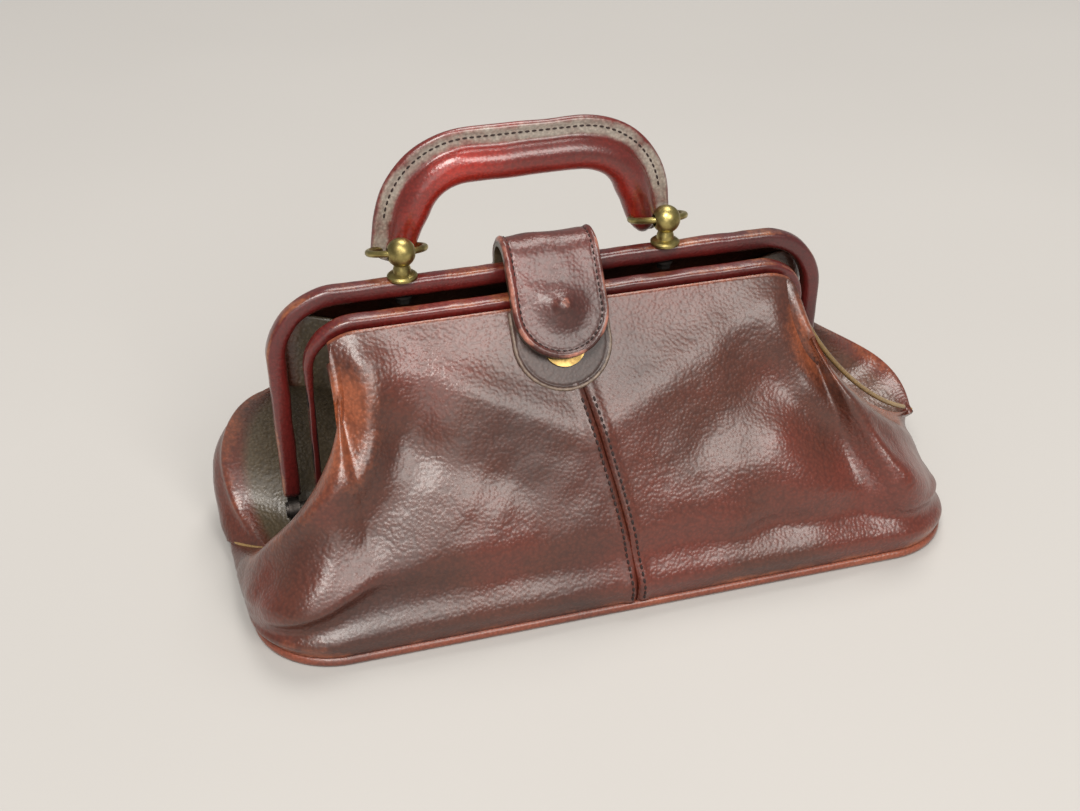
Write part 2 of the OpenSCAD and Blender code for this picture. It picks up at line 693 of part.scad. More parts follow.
// Press snap: the socket under the strap, and the base with the stud that it would close on
stud_d = 5;
stud_h = 1;
stud_clearance = 0.2;
socket_d = 10.8;
socket_flange_d = 13.5;
socket_flange_t = 0.8;
socket_h = 1.6;
module snap_socket() color(brass)
    on_front(stud_down, run_height - strap_t / 2 - socket_h)
        difference() {
            union() {
                cylinder(d = socket_d, h = socket_h);
                translate([0, 0, socket_h - socket_flange_t])
                    cylinder(d = socket_flange_d, h = socket_flange_t);
            }
            cylinder(d = stud_d + 2 * stud_clearance, h = stud_h);
        }

snap_base_t = 1.2;
module snap_base() color(brass)
    on_front(stud_down + snap_miss, move_gap + patch_t) {
        cylinder(d = snap_base_d, h = snap_base_t);
        cylinder(d = stud_d, h = snap_base_t + stud_h);
    }

// Patch that backs the snap on the front leather
patch_tip = strap_tip + patch_below;
module stud_patch() color(dark_oxblood)
    on_front(patch_tip - patch_w / 2, move_gap)
        linear_extrude(patch_t)
            intersection() {
                union() {
                    circle(d = patch_w);
                    translate([-patch_w / 2, 0]) square(patch_w);
                }
                translate([-patch_w, -patch_w]) square([2 * patch_w, patch_w + patch_tip - patch_w / 2]);
            }

bottom_panel();
bottom_board();
bottom_welt();
front_left_panel();
front_right_panel();
back_panel();
left_gusset();
right_gusset();
rear_frame_bar();
rear_frame_cover();
front_frame_bar();
front_frame_cover();
left_hinge_pin();
right_hinge_pin();
left_ball_post();
right_ball_post();
post_nuts();
post_washers();
left_handle_ring();
right_handle_ring();
handle_cover();
handle_core();
strap_top();
strap_lining();
snap_socket();
snap_base();
stud_patch();
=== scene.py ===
import bmesh
import bpy
import numpy as np
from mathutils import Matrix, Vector


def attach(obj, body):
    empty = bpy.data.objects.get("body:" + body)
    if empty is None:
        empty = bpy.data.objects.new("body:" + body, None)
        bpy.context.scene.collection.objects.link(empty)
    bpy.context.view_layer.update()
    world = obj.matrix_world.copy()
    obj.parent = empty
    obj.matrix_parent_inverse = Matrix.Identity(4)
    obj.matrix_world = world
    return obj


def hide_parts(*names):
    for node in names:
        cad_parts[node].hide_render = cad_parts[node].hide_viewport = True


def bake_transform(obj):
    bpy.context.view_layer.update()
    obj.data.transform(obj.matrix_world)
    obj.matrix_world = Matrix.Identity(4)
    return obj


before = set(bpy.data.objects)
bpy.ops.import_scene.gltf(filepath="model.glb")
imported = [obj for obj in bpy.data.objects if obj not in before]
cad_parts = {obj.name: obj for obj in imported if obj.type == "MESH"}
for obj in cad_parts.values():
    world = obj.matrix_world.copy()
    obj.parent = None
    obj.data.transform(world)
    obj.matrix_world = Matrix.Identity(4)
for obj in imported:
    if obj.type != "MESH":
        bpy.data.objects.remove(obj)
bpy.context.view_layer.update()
bpy.context.scene.view_settings.view_transform = "Standard"
mm = 0.001  # every shape below is worked out in millimetres
print("frame loaded")

# the bag's own sizes in mm, as the solids have them
bag = dict(halfL=156, halfD=75, cornerR=34, footZ=4.4, leather=2, wall=1.8, sideSeamY=14,
           lowSwell=6, endSwell=9, highSwell=6, pull=0.3,
           frameX=-14, frameY=2, hingeZ=26, lean=6.5, strapX=-19, strapShift=5)
# each frame, and the leather's edge on it: its gap, how far below the top, and how far round the corner
rear = dict(halfW=122.5, top=131, cornerR=30, rimW=8, rimD=8, gap=0.1, inset=6.5, cornerShare=0.72, foldZ=84,
            legBottom=34, legWidth=1.0, legDepth=1.0)
front = dict(halfW=110, top=124, cornerR=23, rimW=6, rimD=7, gap=0.4, inset=2.6, cornerShare=0.62,
             legBottom=34, legWidth=0.5, legDepth=0.7)
# each end's fold: its tip, and its curves' handles from the tip and from the frame
ends = {-1: dict(tip=(-147, -10, 15), frontLow=(13, -28, 23), frontHigh=(12, -26, -30),
                 rearLow=(-16, 48, 0), rearHigh=(-28, 25, -15)),
        1: dict(tip=(160, -10, 32), frontLow=(-38, -30, 14), frontHigh=(-8, -30, -26),
                rearLow=(13, 46, 2), rearHigh=(36, 22, -36))}
# columns of the net along the base (side, corner, long) and along the top (fold, with its bend, and edge)
net = dict(side=3, corner=5, long=8, fold=9, bend=7, edge=7)
columns = net["side"] + net["corner"] + net["long"]
sides = {-1: "left", 1: "right"}


def mix(a, b, t):
    # straight line from a to b
    return a + (b - a) * t


def bell(x, width):
    # bell curve: e to the minus (x over width) squared
    return np.exp(-(x / width) ** 2)


def ease(t):
    # smooth step from 0 to 1: three t squared minus two t cubed
    return t * t * (3 - 2 * t)


def unit(p):
    # vectors of length one in the same directions
    return p / np.linalg.norm(p, axis=1, keepdims=True)


def stack(x, y, z):
    # arrays of x, y and z become points
    return np.stack(np.broadcast_arrays(x, y, z), -1).astype(float)


def bezier(p, t):
    # cubic curve: four control points weighted by the Bernstein polynomials of t
    t = np.asarray(t, float)[..., None]
    p = [np.asarray(q, float) for q in p]
    return (1 - t) ** 3 * p[0] + 3 * t * (1 - t) ** 2 * p[1] + 3 * t * t * (1 - t) * p[2] + t ** 3 * p[3]


def waves(p, size, seed, count=14):
    # soft noise: a sum of sine waves of about that size in mm, with seeded directions and phases
    rng = np.random.default_rng(seed)
    k = rng.normal(size=(count, 3))
    k *= (2 * np.pi / size) * rng.uniform(0.6, 1.5, (count, 1)) / np.linalg.norm(k, axis=1, keepdims=True)
    return np.sin(p @ k.T + rng.uniform(0, 6.3, count)).sum(-1) / np.sqrt(count / 2)


def lean(p):
    # turns a point of the upright front frame forward about the hinge
    a = np.radians(bag["lean"])
    up = p[..., 2] - bag["hingeZ"]
    return stack(p[..., 0], p[..., 1] * np.cos(a) - up * np.sin(a),
                 bag["hingeZ"] + p[..., 1] * np.sin(a) + up * np.cos(a))


def archZ(dx, f):
    # height of the leather's edge under a frame: flat, then round at the corner
    r = f["cornerR"] - f["inset"]
    over = np.clip(np.abs(dx) - (f["halfW"] - f["inset"]) + r, 0, r)
    return f["top"] - f["inset"] - r + np.sqrt(r * r - over ** 2)


def frontEdge(dx):
    # the leather's edge on the front frame: the arch, leaned forward
    y = -front["rimD"] / 2 - front["gap"] - bag["leather"]
    return lean(stack(bag["frameX"] + dx, y, archZ(dx, front)))


def rearEdge(dx, z):
    # a point of the leather's edge behind the rear frame, at height z
    return stack(bag["frameX"] + dx, bag["frameY"] + rear["rimD"] / 2 + rear["gap"] + bag["leather"], z)


def cornerDx(f):
    # how far from the frame's middle the leather's edge leaves it, part of the way round the corner
    return f["halfW"] - f["inset"] - (f["cornerR"] - f["inset"]) * (1 - f["cornerShare"])


def topEdge(i, sx, sy):
    # upper end of column i: up the fold from its tip, then along the frame to the middle
    e = ends[sx]
    tip = np.array(e["tip"], float)
    f = front if sy < 0 else rear
    far = sx * cornerDx(f)
    along = np.clip((i - net["fold"]) / net["edge"], 0, 1)
    dx = mix(far, -bag["strapShift"], along)
    if sy < 0:
        end = frontEdge(np.float64(far))
        fold = bezier([tip, tip + e["frontLow"], end + e["frontHigh"], end], np.clip(i / net["fold"], 0, 1))
        return np.where((i <= net["fold"])[..., None], fold, frontEdge(dx))
    edge = sx * (f["halfW"] - f["inset"])
    end = rearEdge(edge, f["foldZ"])
    fold = bezier([tip, tip + e["rearLow"], end + e["rearHigh"], end], np.clip(i / net["bend"], 0, 1))
    legTop = f["top"] - f["cornerR"]
    leg = rearEdge(edge, mix(f["foldZ"], legTop, np.clip(i - net["bend"], 0, 1)))
    turn = mix(edge, far, np.clip(i - net["bend"] - 1, 0, 1))
    dx = np.where(i < net["fold"], turn, dx)
    arch = rearEdge(dx, archZ(dx, f))
    upper = np.where((i < net["bend"] + 1)[..., None], leg, arch)
    return np.where((i <= net["bend"])[..., None], fold, upper)


def footEdge(i, sx, sy):
    # base outline: straight side, quarter circle, straight long edge; and its outward normal
    r, halfL, halfD = bag["cornerR"], bag["halfL"], bag["halfD"]
    turn = np.radians(90 * np.clip((i - net["side"]) / net["corner"], 0, 1))
    out = stack(sx * np.cos(turn), sy * np.sin(turn), 0)
    side = stack(sx * halfL, mix(bag["sideSeamY"], sy * (halfD - r), i / net["side"]), 0)
    corner = np.array([sx * (halfL - r), sy * (halfD - r), 0]) + r * out
    long = stack(sx * (halfL - r) * (columns - i) / net["long"], sy * halfD, 0)
    p = np.where((i < net["side"])[..., None], side,
                 np.where((i <= net["side"] + net["corner"])[..., None], corner, long))
    return p + [0, 0, bag["footZ"]], out, turn


# sunk and raised places: share along the columns, share up them, two spreads, slant, depth in mm
backSlump = [(.62, .55, .10, .22, 0, -5), (.40, .28, .12, .10, 0, 4)]
slump = {(-1, -1): [(.62, .58, .10, .22, 0, -6), (.36, .30, .12, .10, 0, 5), (.52, .16, .16, .08, 0, -4)],
         (1, -1): [(.60, .55, .09, .22, 0, -8), (.74, .28, .08, .08, 0, -3), (.42, .40, .10, .14, 0, 4)],
         (-1, 1): backSlump,
         (1, 1): backSlump}
# finer creases of the worn leather, in the same terms; the ledge runs along the front, over the base
ledge = [(.75, .20, .5, .07, 0, -5.0), (.75, .08, .5, .05, 0, 3.6)]
backCreases = [(.30, .25, .16, .05, .2, -1.8), (.66, .62, .04, .2, 0, -1.6)]
creases = {(-1, -1): ledge + [(.80, .78, .25, .08, -.85, 3.2), (.70, .62, .20, .10, -.85, -4.0),
                              (.40, .13, .20, .03, .1, -2.6), (.42, .25, .20, .05, .3, 2.6),
                              (.20, .45, .05, .20, 0, 1.5), (.58, .42, .04, .20, 0, -1.8),
                              (.84, .36, .06, .12, .2, -1.4)],
           (1, -1): ledge + [(.80, .78, .25, .08, -.85, 3.2), (.71, .62, .18, .10, -.85, -4.0),
                             (.55, .42, .05, .24, .05, -4.0), (.66, .48, .05, .22, .05, 3.0),
                             (.44, .55, .04, .20, .1, 2.4), (.80, .24, .05, .05, 0, 2.4),
                             (.72, .20, .05, .05, 0, -1.8), (.30, .26, .18, .04, -.2, 1.8),
                             (.46, .16, .20, .04, .1, -2.0)],
           (-1, 1): backCreases + [(.5, .4, .2, .05, .3, 1.6)],
           (1, 1): backCreases + [(.5, .4, .2, .05, -.3, 1.6)]}
ripples = [(52, 3, 0.45), (19, 5, 0.15), (8, 9, 0.05)]  # soft waves: size in mm, seed, height in mm
seam = dict(gap=3.0, puff=0.9, puffW=2.4, groove=0.9, grooveW=0.9)  # centre front seam, mm


def dents(u, v, table):
    # sum of bell-shaped dents over the net of columns u and heights v
    total = np.zeros(np.broadcast(u, v).shape)
    for atU, atV, spreadU, spreadV, slant, depth in table:
        du = u - atU
        total += depth * bell(du, spreadU) * bell(v - atV - slant * du, spreadV)
    return total


def panelPoint(i, v, sx, sy):
    # a column rises from the base outline as a cubic curve that swells out low and high,
    # moved along its outward normal by the slump, the creases, soft waves and the seam's groove
    foot, out, turn = footEdge(i, sx, sy)
    head = topEdge(i, sx, sy)
    rise = (head - foot)[..., 2:] * [0, 0, 1]
    swell = bag["lowSwell"] + (bag["endSwell"] * np.cos(turn) ** 2 if sx < 0 else 0 * turn)
    p = bezier([foot, foot + bag["pull"] * rise + out * swell[..., None],
                mix(head, foot, bag["pull"]) + out * bag["highSwell"], head], v)
    u = i / columns
    fade = np.sin(np.pi * v) * np.sin(np.pi * u)
    fine = np.sin(np.pi * v) ** 0.5 * np.minimum(1, 6 * u * (1 - 0.9 * u ** 8))
    d = dents(u, v, slump[sx, sy]) * fade + dents(u, v, creases[sx, sy]) * fine
    d += np.clip(4 * v * (1 - v), 0, 1) * sum(high * waves(p, size, seed) for size, seed, high in ripples)
    if sy < 0:
        off = (columns - i) * (bag["halfL"] - bag["cornerR"]) / net["long"]
        d += seam["puff"] * bell(off - seam["gap"], seam["puffW"])
        d -= seam["groove"] * bell(off, seam["grooveW"])
    return p + out * d[..., None]


# floor of each end's trough, and the shape and ripple of its sides
valley = dict(x=88, y=-2, lean=4, below=2, floorZ=10.7, midShare=0.4, kneeOut=0.8, kneeUp=0.4,
              wave=0.7, waveSize=26, crimp=0.35, crimpSize=12)


def valleyPoint(q, sx):
    # a cubic curve from the fold's tip, under the hinge, up to the frame; its second control point
    # is set so that it passes floorZ a quarter of the way along
    tip = np.array(ends[sx]["tip"], float)
    top = frontEdge(np.float64(sx * cornerDx(front)))[2] - valley["below"]
    mid = mix(bag["hingeZ"], top, valley["midShare"])
    low = (valley["floorZ"] - (27 * tip[2] + 9 * mid + top) / 64) * 64 / 27
    x = bag["frameX"] + sx * (valley["x"] - valley["lean"] * np.array([2, 1, 0]))
    return bezier([tip, (x[0], valley["y"], low), (x[1], valley["y"], mid), (x[2], valley["y"], top)], q)


def flangePoint(i, w, sx, sy):
    # side of the trough, from the crease at w 0 to the valley floor at w 1, as a curve with one knee
    lip = topEdge(i, sx, sy)
    floor = valleyPoint(i / net["fold"], sx)
    knee = stack(floor[..., 0], mix(floor[..., 1], lip[..., 1], valley["kneeOut"]),
                 mix(floor[..., 2], lip[..., 2], valley["kneeUp"]))
    w = np.asarray(w)[..., None]
    p = (1 - w) ** 2 * lip + 2 * w * (1 - w) * knee + w * w * floor
    ripple = valley["wave"] * waves(p, valley["waveSize"], 21)
    ripple = ripple + valley["crimp"] * waves(p, valley["crimpSize"], 22)
    return p - (np.sin(np.pi * w[..., 0]) * ripple)[..., None] * [sx, 0, 0]


def gridFaces(rows, cols, start=0, flip=False):
    # quads of a grid of points, row by row
    a = np.arange(rows - 1)[:, None] * cols
    b = np.arange(cols - 1)[None, :]
    quads = np.stack(np.broadcast_arrays(a + b, a + cols + b, a + cols + b + 1, a + b + 1), -1)
    quads = quads.reshape(-1, 4) + start
    return quads[:, ::-1] if flip else quads


def shellFaces(rows, cols):
    # two grids, face and back, closed round their border
    n = rows * cols
    ids = np.arange(n).reshape(rows, cols)
    loop = np.concatenate([ids[0], ids[1:, -1], ids[-1, -2::-1], ids[-2:0:-1, 0]])
    after = np.roll(loop, -1)
    border = np.stack([loop, after, after + n, loop + n], 1)
    return np.concatenate([gridFaces(rows, cols), gridFaces(rows, cols, n, flip=True), border])


def tubeFaces(rows, count):
    # closed rings joined along the path, with one face over each end
    ring = np.arange(count)
    after = (ring + 1) % count
    low, high = np.arange(rows - 1)[:, None] * count, np.arange(1, rows)[:, None] * count
    side = np.stack([low + ring, low + after, high + after, high + ring], -1)
    return [*side.reshape(-1, 4), ring[::-1], (rows - 1) * count + ring]


def makePiece(name, points, faces, material, attributes=None, weld=0.02):
    # points in mm and lists of faces become one smooth mesh at the origin
    mesh = bpy.data.meshes.new(name)
    pts = np.asarray(points, float).reshape(-1, 3) * mm
    mesh.from_pydata(pts.tolist(), [], [list(f) for f in faces])
    for key, value in (attributes or {}).items():
        layer = mesh.attributes.new(key, "FLOAT", "POINT")
        layer.data.foreach_set("value", np.asarray(value, np.float32).ravel())
    piece = bpy.data.objects.new(name, mesh)
    bpy.context.collection.objects.link(piece)
    b = bmesh.new()
    b.from_mesh(mesh)
    bmesh.ops.remove_doubles(b, verts=b.verts, dist=weld * mm)
    bmesh.ops.dissolve_degenerate(b, edges=b.edges, dist=1e-7)
    b.to_mesh(mesh)
    b.free()
    mesh.polygons.foreach_set("use_smooth", np.ones(len(mesh.polygons), bool))
    mesh.materials.append(material)
    mesh.update()
    return piece


def thicken(piece, thickness):
    # a wall of that thickness in mm, inwards from the face
    wall = piece.modifiers.new("wall", "SOLIDIFY")
    wall.thickness = thickness * mm
    wall.offset = -1
    wall.use_even_offset = False
    return piece


def linear(code):
    # sRGB hex to linear colour
    c = np.array([int(code[k:k + 2], 16) for k in (1, 3, 5)]) / 255
    return (*np.where(c <= 0.04045, c / 12.92, ((c + 0.055) / 1.055) ** 2.4), 1)


def addNode(tree, kind, inputs=None, **settings):
    # one node with its settings; a socket given as an input is linked, any other value is set
    n = tree.nodes.new(kind)
    for key, value in settings.items():
        setattr(n, key, value)
    for key, value in (inputs or {}).items():
        if isinstance(value, bpy.types.NodeSocket):
            tree.links.new(value, n.inputs[key])
        else:
            n.inputs[key].default_value = value
    return n


def newMaterial(name):
    # a material with nothing but its output node
    m = bpy.data.materials.new(name)
    m.use_nodes = True
    m.node_tree.nodes.remove(m.node_tree.nodes["Principled BSDF"])
    return m, m.node_tree, m.node_tree.nodes["Material Output"]


hide = dict(cloud=80, fleck=3, pebble=0.4)  # clouds of dye, flecks and height of the pebbles, mm


def leatherMaterial(name, dark, mid, red, worn, grain=1.5, bump=0.35, gloss=0.36, coat=0.25, inner="#4b4231"):
    # full-grain cowhide, dyed and waxed: pebble grain, clouded colour, paler where the dye is rubbed off,
    # with painted shade in the grain's grooves and painted light on its pebble tops
    m, t, out = newMaterial(name)
    at = addNode(t, "ShaderNodeTexCoord").outputs["Object"]
    cloud = addNode(t, "ShaderNodeTexNoise", {"Vector": at, "Scale": 1 / (hide["cloud"] * mm),
                                              "Detail": 4.0, "Roughness": 0.55}).outputs["Fac"]
    dye = addNode(t, "ShaderNodeValToRGB", {"Fac": cloud})
    dye.color_ramp.elements[0].position = 0.34
    dye.color_ramp.elements[0].color = linear(dark)
    dye.color_ramp.elements[1].position = 0.68
    dye.color_ramp.elements[1].color = linear(red)
    dye.color_ramp.elements.new(0.5).color = linear(mid)
    pebbles = addNode(t, "ShaderNodeTexVoronoi", {"Vector": at, "Scale": 1 / (grain * mm), "Randomness": 0.9},
                      feature="SMOOTH_F1").outputs["Distance"]
    fleck = addNode(t, "ShaderNodeTexNoise", {"Vector": at, "Scale": 1 / (hide["fleck"] * mm),
                                              "Detail": 5.0, "Roughness": 0.7}).outputs["Fac"]
    # the piece's own attributes say where it is redder, of the inner colour, and rubbed
    tone, inside, wear = [addNode(t, "ShaderNodeAttribute", attribute_name=key).outputs["Fac"]
                          for key in ("tone", "inside", "wear")]
    redder = addNode(t, "ShaderNodeMix", {"Factor": tone, "A": dye.outputs["Color"], "B": linear(red)},
                     data_type="RGBA")
    lined = addNode(t, "ShaderNodeMix", {"Factor": inside, "A": redder.outputs["Result"], "B": linear(inner)},
                    data_type="RGBA")
    patchy = addNode(t, "ShaderNodeMath", {0: fleck, 1: 0.5}, operation="SUBTRACT")
    level = addNode(t, "ShaderNodeMath", {0: patchy.outputs[0], 1: wear}, operation="ADD", use_clamp=True)
    bare = addNode(t, "ShaderNodeMapRange", {"Value": level.outputs[0], "From Min": 0.15, "From Max": 0.9})
    spread = addNode(t, "ShaderNodeMath", {0: wear, 1: 4.0}, operation="MULTIPLY", use_clamp=True)
    rubbed = addNode(t, "ShaderNodeMath", {0: spread.outputs[0], 1: bare.outputs["Result"]},
                     operation="MULTIPLY")
    colour = addNode(t, "ShaderNodeMix", {"Factor": rubbed.outputs[0], "A": lined.outputs["Result"],
                                          "B": linear(worn)}, data_type="RGBA")
    # painted shade and light: the colour is darkened in the grain's grooves and lightened on the pebble tops
    groove = addNode(t, "ShaderNodeMapRange", {"Value": pebbles, "From Min": 0.15, "From Max": 0.65,
                                               "To Min": 1.12, "To Max": 0.72})
    grainShaded = addNode(t, "ShaderNodeMix", {"Factor": 1.0, "A": colour.outputs["Result"],
                                           "B": groove.outputs["Result"]},
                      data_type="RGBA", blend_type="MULTIPLY")
    low = addNode(t, "ShaderNodeMath", {0: fleck, 1: 0.35}, operation="MULTIPLY")
    height = addNode(t, "ShaderNodeMath", {0: low.outputs[0], 1: pebbles}, operation="SUBTRACT")
    relief = addNode(t, "ShaderNodeBump", {"Height": height.outputs[0], "Strength": bump,
                                           "Distance": hide["pebble"] * mm})
    rough = addNode(t, "ShaderNodeMapRange", {"Value": cloud, "From Min": 0.3, "From Max": 0.7,
                                              "To Min": gloss + 0.08, "To Max": gloss - 0.05})
    skin = addNode(t, "ShaderNodeBsdfPrincipled", {
        "Base Color": grainShaded.outputs["Result"], "IOR": 1.55, "Roughness": rough.outputs["Result"],
        "Normal": relief.outputs["Normal"], "Coat Weight": coat, "Coat Roughness": 0.3})
    t.links.new(skin.outputs[0], out.inputs[0])
    return m


def metalMaterial(name, colour, tarnish, rough, grit, cloudSize=6):
    # cast brass or plain steel: dull, with clouds of tarnish and fine handling scratches
    m, t, out = newMaterial(name)
    at = addNode(t, "ShaderNodeTexCoord").outputs["Object"]
    cloud = addNode(t, "ShaderNodeTexNoise", {"Vector": at, "Scale": 1 / (cloudSize * mm), "Detail": 6.0,
                                              "Roughness": 0.65}).outputs["Fac"]
    stain = addNode(t, "ShaderNodeValToRGB", {"Fac": cloud})
    stain.color_ramp.elements[0].position = 0.35
    stain.color_ramp.elements[0].color = linear(tarnish)
    stain.color_ramp.elements[1].position = 0.62
    stain.color_ramp.elements[1].color = linear(colour)
    fine = addNode(t, "ShaderNodeTexNoise", {"Vector": at, "Scale": 1 / (grit * mm), "Detail": 3.0})
    relief = addNode(t, "ShaderNodeBump", {"Height": fine.outputs["Fac"], "Strength": 0.12,
                                           "Distance": 0.1 * mm})
    dull = addNode(t, "ShaderNodeMapRange", {"Value": cloud, "From Min": 0.3, "From Max": 0.7,
                                             "To Min": rough + 0.15, "To Max": rough})
    skin = addNode(t, "ShaderNodeBsdfPrincipled", {
        "Base Color": stain.outputs["Color"], "Metallic": 1.0, "Roughness": dull.outputs["Result"],
        "Normal": relief.outputs["Normal"]})
    t.links.new(skin.outputs[0], out.inputs[0])
    return m


def mattMaterial(name, colour, soil, size, rough=0.75, detail=4.0):
    # waxed linen thread, fibreboard or a painted floor: matt, in two shades that cloud into each other
    m, t, out = newMaterial(name)
    at = addNode(t, "ShaderNodeTexCoord").outputs["Object"]
    cloud = addNode(t, "ShaderNodeTexNoise", {"Vector": at, "Scale": 1 / (size * mm), "Detail": detail})
    shade = addNode(t, "ShaderNodeMix", {"Factor": cloud.outputs["Fac"], "A": linear(soil),
                                         "B": linear(colour)}, data_type="RGBA")
    skin = addNode(t, "ShaderNodeBsdfPrincipled", {"Base Color": shade.outputs["Result"], "Roughness": rough})
    t.links.new(skin.outputs[0], out.inputs[0])
    return m


bodyLeather = leatherMaterial("waxed oxblood cowhide", "#3d1e15", "#4c2518", "#60281c", "#8c4c30",
                              grain=1.4, bump=0.6, gloss=0.34, coat=0.35)
gussetLeather = leatherMaterial("rubbed brown cowhide", "#332b1f", "#4b4231", "#54452f", "#8d7b52",
                                bump=0.6, gloss=0.42)
rimLeather = leatherMaterial("rolled oxblood rim leather", "#3e1111", "#561715", "#6b1e1a", "#a86a42",
                             grain=1.0, bump=0.2, gloss=0.28, coat=0.45)
handleLeather = leatherMaterial("polished oxblood handle leather", "#47150f", "#661d16", "#a0271b", "#998f84",
                                grain=1.1, bump=0.25, gloss=0.28, coat=0.45)
strapLeather = leatherMaterial("oxblood strap leather", "#40201b", "#562a24", "#6a2c26", "#b87a68",
                               grain=1.4, bump=0.6, gloss=0.34)
patchLeather = leatherMaterial("dull oxblood patch leather", "#3a2a26", "#4e3a35", "#583f3a", "#93806f",
                               grain=1.3, bump=0.45, gloss=0.45, coat=0.1)
# pale golden tan: the piping's leather colour, lightened as a painted reflection along the piped edge; the
# end seams share it
pipingPaintedSheen = leatherMaterial("tan piping with painted sheen", "#6b5433", "#8a6f45", "#9c7e4c", "#c4aa74",
                                grain=1.0, bump=0.2)
weltLeather = leatherMaterial("rubbed oxblood welt", "#5a2c20", "#7a3d29", "#8a4a32", "#b57446",
                              grain=1.0, bump=0.3)
agedBrass = metalMaterial("antique cast brass", "#b3a468", "#776b42", 0.3, 0.5)
brightBrass = metalMaterial("stamped brass", "#b3965e", "#877044", 0.32, 0.6)
plainSteel = metalMaterial("blackened mild steel", "#5a5552", "#35312e", 0.45, 0.4)
# near-black: the thread's oxblood dye, darkened further as painted shade of the stitch holes
threadHoleShade = mattMaterial("waxed oxblood thread", "#2c1613", "#150a09", 9)
fibreboard = mattMaterial("pressed fibreboard", "#7a6a58", "#5b4d3e", 9)
print("materials made")

# the body's mesh, and the shape of its rolled crease: crest in mm, valley beyond it, and rounding in rows
bodyGrid = dict(columns=170, seamColumns=18, seamSpan=0.6, rows=84, flangeRows=34, tipGap=0.05)
roll = dict(crest=11, valley=0.3, valleyAt=2.8, foot=0.15, head=0.08, rounds=60, reach=18, spread=9, fade=2.5)
# how far each side's crease stands out and how wide its rubbed band is, in mm, and how strong that band is
rolls = {(-1, -1): (8.0, 14, 1.0), (1, -1): (5.0, 8, 0.85), (-1, 1): (3.0, 6, 0.45), (1, 1): (2.0, 6, 0.6)}


def leatherSide(sx, sy):
    # the panel's net, and on its first columns the trough's side, joined over a rounded crease
    g = bodyGrid
    nearSeam = columns - g["seamSpan"]
    i = np.concatenate([np.linspace(0, nearSeam, g["columns"]),
                        np.linspace(nearSeam, columns, g["seamColumns"])[1:]])
    v = np.linspace(0, 1, g["rows"])
    panel = panelPoint(i[:, None] + 0 * v, v + 0 * i[:, None], sx, sy)
    last = int(np.searchsorted(i, net["fold"], "right"))
    foldI = np.minimum(i[:last], net["fold"])
    w = np.linspace(0, 1, g["flangeRows"])[1:]
    flange = flangePoint(foldI[:, None] + 0 * w, w + 0 * foldI[:, None], sx, sy)
    # with c as (distance to the crease over crest) squared, the roll stands out by c times e to the 1 - c,
    # less a shallow bell further out, and fades at the base, at the edge and at the fold's ends
    gap = np.linalg.norm(panel[:, :, None] - panel[:last, -1], axis=-1)
    foldAt = foldI[gap.argmin(-1)]
    gap = gap.min(-1)
    c = (gap / roll["crest"]) ** 2
    ridge = c * np.exp(1 - c) - roll["valley"] * bell(gap - roll["valleyAt"] * roll["crest"], roll["crest"])
    lift = rolls[sx, sy][0] * np.clip(np.sin(np.pi * foldAt / net["fold"]), 0, 1) ** 0.7
    lift = lift * np.clip(v / roll["foot"], 0, 1) * np.clip((1 - v) / roll["head"], 0, 1)
    panel = panel + (ridge * lift)[..., None] * footEdge(i, sx, sy)[1][:, None]
    # rounding: repeated averaging along each column, strongest at the crease, which is then put back in place
    both = np.concatenate([panel[:last], flange], 1)
    creaseRow = g["rows"] - 1
    row = np.arange(both.shape[1])
    near = np.clip(1 - np.abs(row - creaseRow) / roll["reach"], 0, 1)[None, :, None] ** 0.5
    fade = ease(np.clip((net["fold"] - foldI) / roll["fade"], 0, 1)) * np.clip(foldI / 0.5, 0.15, 1)
    crease = both[:, creaseRow].copy()
    for step in range(roll["rounds"]):
        smooth = both.copy()
        smooth[:, 1:-1] = 0.5 * both[:, 1:-1] + 0.25 * (both[:, :-2] + both[:, 2:])
        both = mix(both, smooth, near * fade[:, None, None])
    lost = (crease - both[:, creaseRow])[:, None]
    both = both + lost * bell(row - creaseRow, roll["spread"])[None, :, None]
    panel[:last] = both[:, :g["rows"]]
    return i, v, panel, foldI, both[:, creaseRow:], gap, foldAt


def foldBand(f):
    # where along the fold its crease is rubbed: not at the frame, and little at the tip
    return np.clip((net["fold"] - 0.3 - f) / 1.2, 0, 1) * np.clip(f / 1.5, 0.25, 1)


# rubbed, inner and redder places of the body: strengths, and reaches in mm or in shares of the net
rubbing = dict(base=0.7, baseReach=3, edge=0.8, edgeReach=1.1, corner=0.5, cornerAt=5.5, cornerWide=2.2,
               cornerReach=9, flangeReach=3, most=0.9)
innerSide = {"start": 3, "fade": 5, -1: 0.95, 1: 0.45}
redPlace = dict(cloud=0.25, cloudSize=70, strength=0.9, up=0.22, wide=0.16, high=0.2, most=0.85)
pipedShare = (0.7, 7.8)  # columns of the fold that a piped edge follows


